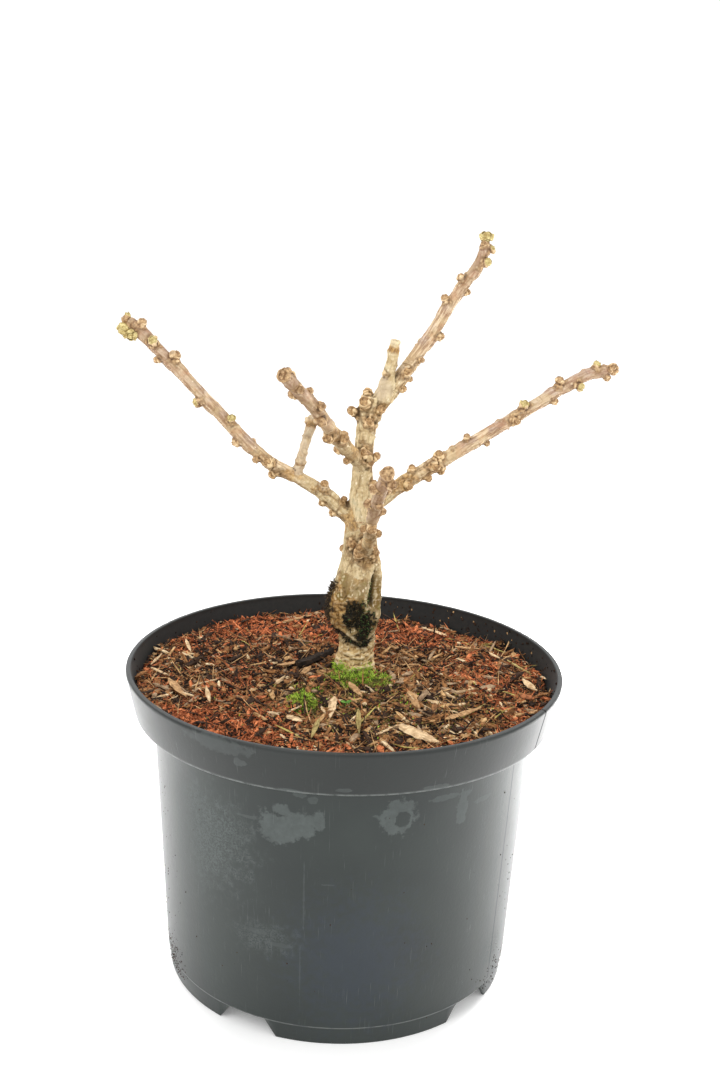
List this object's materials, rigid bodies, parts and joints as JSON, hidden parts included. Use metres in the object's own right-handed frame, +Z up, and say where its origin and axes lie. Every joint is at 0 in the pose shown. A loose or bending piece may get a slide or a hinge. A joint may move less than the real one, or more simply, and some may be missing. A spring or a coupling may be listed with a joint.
{
  "type": "potted bare ginkgo shrub",
  "caption": "Small grafted ginkgo, bare with swelling buds, its knobbly boughs rising from a short trunk in a round footed nursery pot filled with bark mulch.",
  "frame": {"origin": "centre of the flat pad under the pot, on the surface that the pot stands on", "axes": "+Z up along the pot's axis, +X to the right of one who looks at the plant's front, +Y away from the front"},
  "size_m": [0.2554, 0.2268, 0.391],
  "materials": {
    "pot": "satin",
    "soil": "rough",
    "moss": "rough",
    "bark": "rough",
    "shoot": "satin"
  },
  "bodies": {
    "root": {"pot": "pot", "soil": "soil", "moss_cushion": "moss", "moss_patch": "moss", "trunk": "bark", "left_bough": "bark", "right_bough": "bark", "front_left_bough": "bark", "front_bough": "bark", "leader_bough": "bark", "left_snag": "bark", "top_snag": "bark", "left_shoot": "shoot", "right_shoot": "shoot", "front_left_shoot": "shoot", "front_shoot": "shoot", "leader_shoot": "shoot"}
  },
  "joints": []
}
